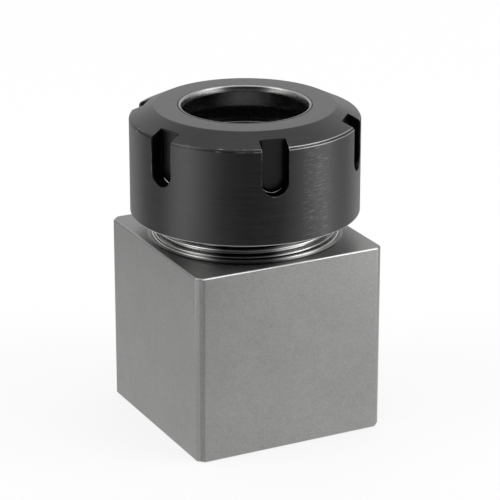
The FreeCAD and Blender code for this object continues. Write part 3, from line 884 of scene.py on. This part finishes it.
# %% The cutters' node tree
def make_cutter_tree():
    bench, size = open_tree("radial_cutters", (
        "Count", "Start angle", "Width", "Height", "Foot height", "Inner reach", "Outer reach"))
    section = bench.node("GeometryNodeCurvePrimitiveQuadrilateral", {}, {
        "Width": size["Width"], "Height": size["Height"]})
    section = bench.node("GeometryNodeFilletCurve", {"mode": "POLY"}, {
        "Curve": section, "Count": 10, "Radius": size["Width"] * 0.4999})
    middle = size["Foot height"] + size["Height"] * 0.5
    way = bench.node("GeometryNodeCurvePrimitiveLine", {}, {
        "Start": bench.vector(size["Inner reach"], 0.0, middle),
        "End": bench.vector(size["Outer reach"], 0.0, middle)})
    cutter = bench.node("GeometryNodeCurveToMesh", {}, {
        "Curve": way, "Profile Curve": section, "Fill Caps": True})
    places = bench.node("GeometryNodePoints", {}, {"Count": size["Count"]})
    index = bench.node("GeometryNodeInputIndex")
    angle = size["Start angle"] + index * (2 * math.pi) / size["Count"]
    cutters = bench.node("GeometryNodeInstanceOnPoints", {}, {
        "Points": places, "Instance": cutter, "Rotation": bench.vector(0.0, 0.0, angle)})
    return close_tree(bench, cutters, size)


cutter_tree = make_cutter_tree()
print("the cutters' tree has", len(cutter_tree.nodes), "nodes")

# %% The cutters
CUTTER_HEIGHT = 20.0
CUTTER_REACH = 27.0
HOLE_WIDTH = 3.2
HOLE_HEIGHT = 3.2001
HOLE_START = 19.8
HOLE_END = 23.0


def make_cutters(name, count, width, height, foot, inner, outer):
    """Cutters round the axis, from sizes in millimetres."""
    cutters = grow(name, cutter_tree, black_steel, {
        "Count": count, "Start angle": math.radians(SLOT_ANGLE), "Width": width * MM, "Height": height * MM,
        "Foot height": foot * MM, "Inner reach": inner * MM, "Outer reach": outer * MM})
    print(name, spans(cutters))
    return cutters


slot_cutters = make_cutters("slot_cutters", SLOT_COUNT, SLOT_WIDTH, CUTTER_HEIGHT, SLOT_FOOT, SLOT_FLOOR,
                            CUTTER_REACH)
hole_cutter = make_cutters("hole_cutter", 1, HOLE_WIDTH, HOLE_HEIGHT, RACE_HEIGHT - HOLE_WIDTH / 2,
                           HOLE_START, HOLE_END)

# %% [markdown]
# The boolean leaves a few very short edges where a cutter just misses a corner of the blank. They are
# merged away, because the bevel that follows would fold over itself there.

# %% Cutting the slots
MERGE = 0.06


def merge_short_edges(work):
    bmesh.ops.remove_doubles(work, verts=work.verts, dist=MERGE * MM)
    bmesh.ops.dissolve_degenerate(work, edges=work.edges, dist=MERGE * MM)
    print("open edges after the cut:", sum(not edge.is_manifold for edge in work.edges), "shortest",
          round(min(edge.calc_length() for edge in work.edges) / MM, 3))


def cut(piece, cutters):
    """Takes the cutters out of the piece, exactly, and removes them."""
    for cutter in cutters:
        rework(cutter.data, turn_outwards)
        boolean = piece.modifiers.new("cut", "BOOLEAN")
        boolean.operation = "DIFFERENCE"
        boolean.solver = "EXACT"
        boolean.object = cutter
    settle(piece, black_steel)
    for cutter in cutters:
        bpy.data.objects.remove(cutter)
    rework(piece.data, merge_short_edges)


cut(nut, [slot_cutters, hole_cutter])
print("slotted nut:", len(nut.data.polygons), "faces")

# %% [markdown]
# ## Bare edges on the black nut
# Handling and spanners take the black off the edges first. A bevel gives every edge narrow faces of
# its own, so those are found by their width, and their place says how far they are worn: most at the
# lower edge and at the feet of the slots, less round the slots and the front. The shoulder is worn
# all round, and bared further towards the lit side: that extra bare steel is a painted highlight.
# The number goes into the attribute wear, and it is 0 on all other faces.

# %% How far an edge is worn
NARROW = 0.085
NARROW_ON_SHOULDER = 0.12
LOWER_EDGE_WEAR = 1.0
SLOT_FOOT_WEAR = 0.95
EDGE_WEAR = 0.6
SHOULDER_WEAR = 0.56
# Bareness added towards the lit side of the shoulder: a painted highlight.
SHOULDER_HIGHLIGHT = 0.75


def wear_and_highlight_of(face):
    """How bare a face is, from 0 for black to 1 for bare steel; on the lit side of the shoulder part of it is
    a painted highlight.
    """
    middle = face.calc_center_median()
    height = middle.z / MM
    radius = middle.xy.length / MM
    width = face.calc_area() / max(edge.calc_length() for edge in face.edges) / MM
    if height < NUT_BACK + FOOT_ROUND - 0.01 and radius > NUT_RADIUS - FOOT_ROUND - 0.05:
        return LOWER_EDGE_WEAR
    on_shoulder = radius > NUT_RADIUS - 0.6 and abs(height - FRONT + SHOULDER_DROP) < 0.5
    if on_shoulder and width < NARROW_ON_SHOULDER:
        # Towards the lit side the shoulder is bared further: a painted highlight.
        from_lit_side = math.atan2(middle.y, middle.x) - math.radians(LIT_SIDE_ANGLE)
        return SHOULDER_WEAR + SHOULDER_HIGHLIGHT * max(0.0, math.cos(from_lit_side)) ** 8
    if width >= NARROW:
        return 0.0
    if radius > SLOT_FLOOR + 1.0:
        return EDGE_WEAR
    if radius > SLOT_FLOOR - 0.1:
        return SLOT_FOOT_WEAR if height < SLOT_FOOT + 0.9 else 0.0
    return EDGE_WEAR if height > FRONT - 0.15 else 0.0


def mark_wear_and_highlight(work):
    """Writes how bare each face is into an attribute, with the shoulder's painted highlight, and counts the
    faces that are bare at all.
    """
    layer = work.loops.layers.float.new("wear")
    marked = 0
    for face in work.faces:
        worn = wear_and_highlight_of(face)
        marked += worn > 0
        for loop in face.loops:
            loop[layer] = worn
    return marked


nut = soften(nut, black_steel, width=0.1, angle=20.0, clamp=False)
print("worn faces:", rework(nut.data, mark_wear_and_highlight), "of", len(nut.data.polygons))

# %% The nut's thread and the finished nut
nut_thread = wind_thread("nut_thread", black_steel, turns=7.2, facing=-OUTWARDS, lengths={
    "Radius": NUT_ROOT + SINK, "Start height": NUT_THREAD_START, "Foot width": 1.2, "Crest width": 0.25,
    "Depth": NUT_ROOT - NUT_CREST + SINK, "Edge rounding": 0.03})
nut = join([nut, nut_thread], "clamping_nut")
print("nut:", len(nut.data.polygons), "faces")

# %% [markdown]
# ## The pressure ring
# The ring sits in the nut's front and is turned as well. Its opening flares a little towards a small
# chamfer. Its inner lip is bored off centre: it hooks into the collet's groove on one side only, and
# pulls the collet out when the nut is undone. The lip's loops are shifted circles.

# %% The ring
ring_angles = even_angles(SPOKES)
shift = (math.cos(math.radians(LIP_ANGLE)), math.sin(math.radians(LIP_ANGLE)))
ring_outside = [(OPENING_RADIUS + LAND_FLARE, FRONT - CHAMFER_DEPTH),
                (OPENING_RADIUS + OPENING_CHAMFER, FRONT), (NECK_RADIUS, FRONT), (NECK_RADIUS, NECK_FOOT),
                (RING_RADIUS, RING_SHOULDER)]
ring_outside += race_arc(RING_RADIUS, "inside") + [(RING_RADIUS, NOSE_TOP)]
ring_inside = [(RECESS_RADIUS, LIP_TOP), (RECESS_RADIUS, RECESS_TOP), (SEAT_RADIUS, SEAT_FOOT),
               (OPENING_RADIUS, FRONT - MOUTH_DEPTH)]
ring_loops = turned_loops(ring_outside, ring_angles)
ring_loops += turned_loops([(LIP_RADIUS, NOSE_TOP), (LIP_RADIUS, LIP_TOP)], ring_angles, shift)
ring_loops += turned_loops(ring_inside, ring_angles)
ring = soften(skin("pressure_ring_visual", ring_loops), ring_steel, width=0.07, clamp=False)
print("ring:", len(ring.data.polygons), "faces,", spans(ring))

# %% [markdown]
# ## What moves with what
# The new pieces stand in for the CAD solids, and ride on the same bodies. The balls and the plug are
# plain shapes that the CAD already has right, so they stay and only get their finishes.

# %% Riding on the bodies
for piece, body, node, slot in (
    (block, "block", "block_body", "ground_steel"),
    (nut, "nut", "nut_body", "black_nut"),
    (ring, "ring", "pressure_ring", "ring_steel"),
):
    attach(piece, body)
    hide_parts(node)
for name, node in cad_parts.items():
    if name == "ball_fill_plug":
        node.material_slots[0].material = plug_steel
    elif name.startswith("ball_"):
        node.material_slots[0].material = ball_steel

# %% [markdown]
# ## The studio
# Steel shows its surroundings, so the surroundings are most of the picture. A product photographer
# puts small metal parts on white paper, with a tall white card on either side and a dark gap where
# the camera stands. The gap is what makes a round black nut look round: its middle stays dark and
# its flanks brighten towards the cards. Here the cards are ramps of brightness round the horizon, as
# angles to the right of the camera and levels of light: one ramp for what stands low, one for what
# stands high, and a plain ceiling above. The camera itself sees plain white behind the object.

# %% The cards
BRIGHTEST = 3.0
LOW_CARDS = [(-180, 0.8), (-150, 0.8), (-126, 0.5), (-100, 0.15), (-84, 0.4), (-68, 0.65), (-50, 0.4),
             (-32, 0.1), (0, 0.05), (35, 0.15), (50, 0.6), (60, 0.8), (87, 0.9), (107, 0.35), (126, 0.6),
             (150, 0.8)]
HIGH_CARDS = [(-180, 0.9), (-150, 0.9), (-126, 0.8), (-104, 0.7), (-86, 1.1), (-76, 2.8), (-59, 2.8),
              (-51, 0.8), (-44, 0.25), (-32, 0.08), (0, 0.05), (32, 0.08), (46, 0.35), (53, 0.6), (60, 1.6),
              (67, 2.9), (84, 2.8), (94, 1.3), (102, 0.95), (130, 0.95)]
FLOOR_CARDS = [(-180, 0.45), (-150, 0.5), (-126, 0.75), (-107, 0.5), (-84, 0.57), (-59, 2.7), (-45, 1.75),
               (-24, 0.5), (0, 0.22), (35, 0.37), (57, 1.37), (80, 2.8), (95, 1.1), (110, 0.7), (130, 0.8),
               (165, 0.46)]


def from_camera(x, y):
    """How far a direction points towards the camera's side, and to its right."""
    a = CAMERA_AZIMUTH
    return x * math.sin(a) - y * math.cos(a), x * math.cos(a) + y * math.sin(a)


def cards_round(bench, ahead, aside, cards):
    """Brightness of the cards in a level direction, as a share of the brightest."""
    angle = bench.maths("ARCTAN2", aside, ahead)
    stops = [((degrees + 180) / 360, level / BRIGHTEST) for degrees, level in cards]
    return bench.node("ShaderNodeValToRGB", {"stops": stops}, {0: angle * (0.5 / math.pi) + 0.5})


def plain(level):
    """A grey for a level of light, as a share of the brightest."""
    return (level / BRIGHTEST,) * 3 + (1,)


print("cards have", len(LOW_CARDS), "and", len(HIGH_CARDS), "stops")

# %% The world
def make_world():
    world = bpy.data.worlds.new("studio")
    world.use_nodes = True
    world.node_tree.nodes.clear()
    bench = Bench(world.node_tree)
    x, y, z = bench.parts_of(bench.node("ShaderNodeTexCoord", output=0))
    ahead, aside = from_camera(x, y)
    sides = bench.between(bench.maths("ABSOLUTE", aside), 0.05, 0.3)
    ceiling = bench.mix_colour(sides, plain(1.0), plain(0.8))
    ceiling = bench.mix_colour(bench.between(ahead, -0.05, 0.3), ceiling, plain(1.1))
    low = cards_round(bench, ahead, aside, LOW_CARDS)
    high = cards_round(bench, ahead, aside, HIGH_CARDS)
    level = bench.mix_colour(bench.between(z, 0.36, 0.5), low, high)
    level = bench.mix_colour(bench.between(z, 0.62, 0.77), level, ceiling)
    studio = bench.node("ShaderNodeBackground", {}, {"Color": level, "Strength": BRIGHTEST})
    white = bench.node("ShaderNodeBackground", {}, {"Color": (1, 1, 1, 1), "Strength": 1.0})
    camera_ray = bench.node("ShaderNodeLightPath", output=0)
    send_out(bench, bench.mix_shader(camera_ray, studio, white), "ShaderNodeOutputWorld")
    bpy.context.scene.world = world


make_world()
print("the world is", bpy.context.scene.world.name)

# %% [markdown]
# ## The floor
# The floor is white paper. The camera sees it nearly white, with a faint shadow: mostly plain white
# light, and the rest real paper. In the steel it is seen at a flat angle: white close to the block,
# and further out as bright as the cards beyond it, which is a third ramp.

# %% The floor
FLOOR_RADIUS = 2.0
WHITE_SHARE = 0.75
WHITE_LIGHT = 1.06


def make_paper():
    material, bench = new_finish("white_paper")
    x, y, _ = bench.parts_of(bench.node("ShaderNodeTexCoord", output=3))
    distance = bench.length(x, y)
    ahead, aside = from_camera(x, y)
    in_front = bench.between(ahead / distance, 0.77, 0.87)
    far = bench.between(distance + in_front * 0.03, 0.10, 0.15)
    near = bench.tint((0.95 + (aside / distance) * 0.09) / BRIGHTEST)
    level = bench.mix_colour(far, near, cards_round(bench, ahead, aside, FLOOR_CARDS))
    seen_in_steel = bench.node("ShaderNodeEmission", {}, {"Color": level, "Strength": BRIGHTEST})
    paper = bench.node("ShaderNodeBsdfDiffuse", {}, {"Color": (0.8, 0.8, 0.8, 1)})
    white = bench.node("ShaderNodeEmission", {}, {"Color": (1, 1, 1, 1), "Strength": WHITE_LIGHT})
    seen = bench.mix_shader(WHITE_SHARE, paper, white)
    camera_ray = bench.node("ShaderNodeLightPath", output=0)
    glossy_ray = bench.node("ShaderNodeLightPath", output=3)
    lit = bench.mix_shader(glossy_ray, paper, seen_in_steel)
    send_out(bench, bench.mix_shader(camera_ray, lit, seen))
    return material


floor_mesh = bpy.data.meshes.new("floor")
edge = [(FLOOR_RADIUS * math.cos(a), FLOOR_RADIUS * math.sin(a), 0.0) for a in even_angles(64)]
floor_mesh.from_pydata(edge, [], [list(range(len(edge)))])
floor_mesh.materials.append(make_paper())
floor = new_object("floor", floor_mesh)
print("floor laid,", 2 * FLOOR_RADIUS, "m across")

# %% [markdown]
# ## Two soft lamps
# The cards alone would leave the steel a little dull. One lamp on each side, high up and large, puts
# a soft highlight on the shoulder of the nut and on the rims.

# %% Lamps
LAMP_DISTANCE = 0.9
LAMP_ELEVATION = math.radians(50)
LAMP_RADIANCE = 1.4


def hang_lamp(name, side_angle, size):
    """A square lamp that faces the nut; the angle is in degrees to the right of the camera."""
    towards_lamp = direction(CAMERA_AZIMUTH + math.radians(side_angle), LAMP_ELEVATION)
    lamp = new_object(name, bpy.data.lights.new(name, "AREA"))
    lamp.data.shape = "SQUARE"
    lamp.data.size = size
    lamp.data.energy = LAMP_RADIANCE * math.pi * size * size
    lamp.location = AIM + towards_lamp * LAMP_DISTANCE
    lamp.rotation_mode = "QUATERNION"
    lamp.rotation_quaternion = towards_lamp.to_track_quat("Z", "Y")
    lamp.visible_camera = False
    return lamp


for lamp in (hang_lamp("right_lamp", side_angle=82, size=0.5),
             hang_lamp("left_lamp", side_angle=-76, size=0.4)):
    print(lamp.name, "at", [round(v, 2) for v in lamp.location])

# %% [markdown]
# ## The view
# The colours are shown as they are, with the Standard view transform.

# %% The end
bpy.context.scene.view_settings.view_transform = "Standard"
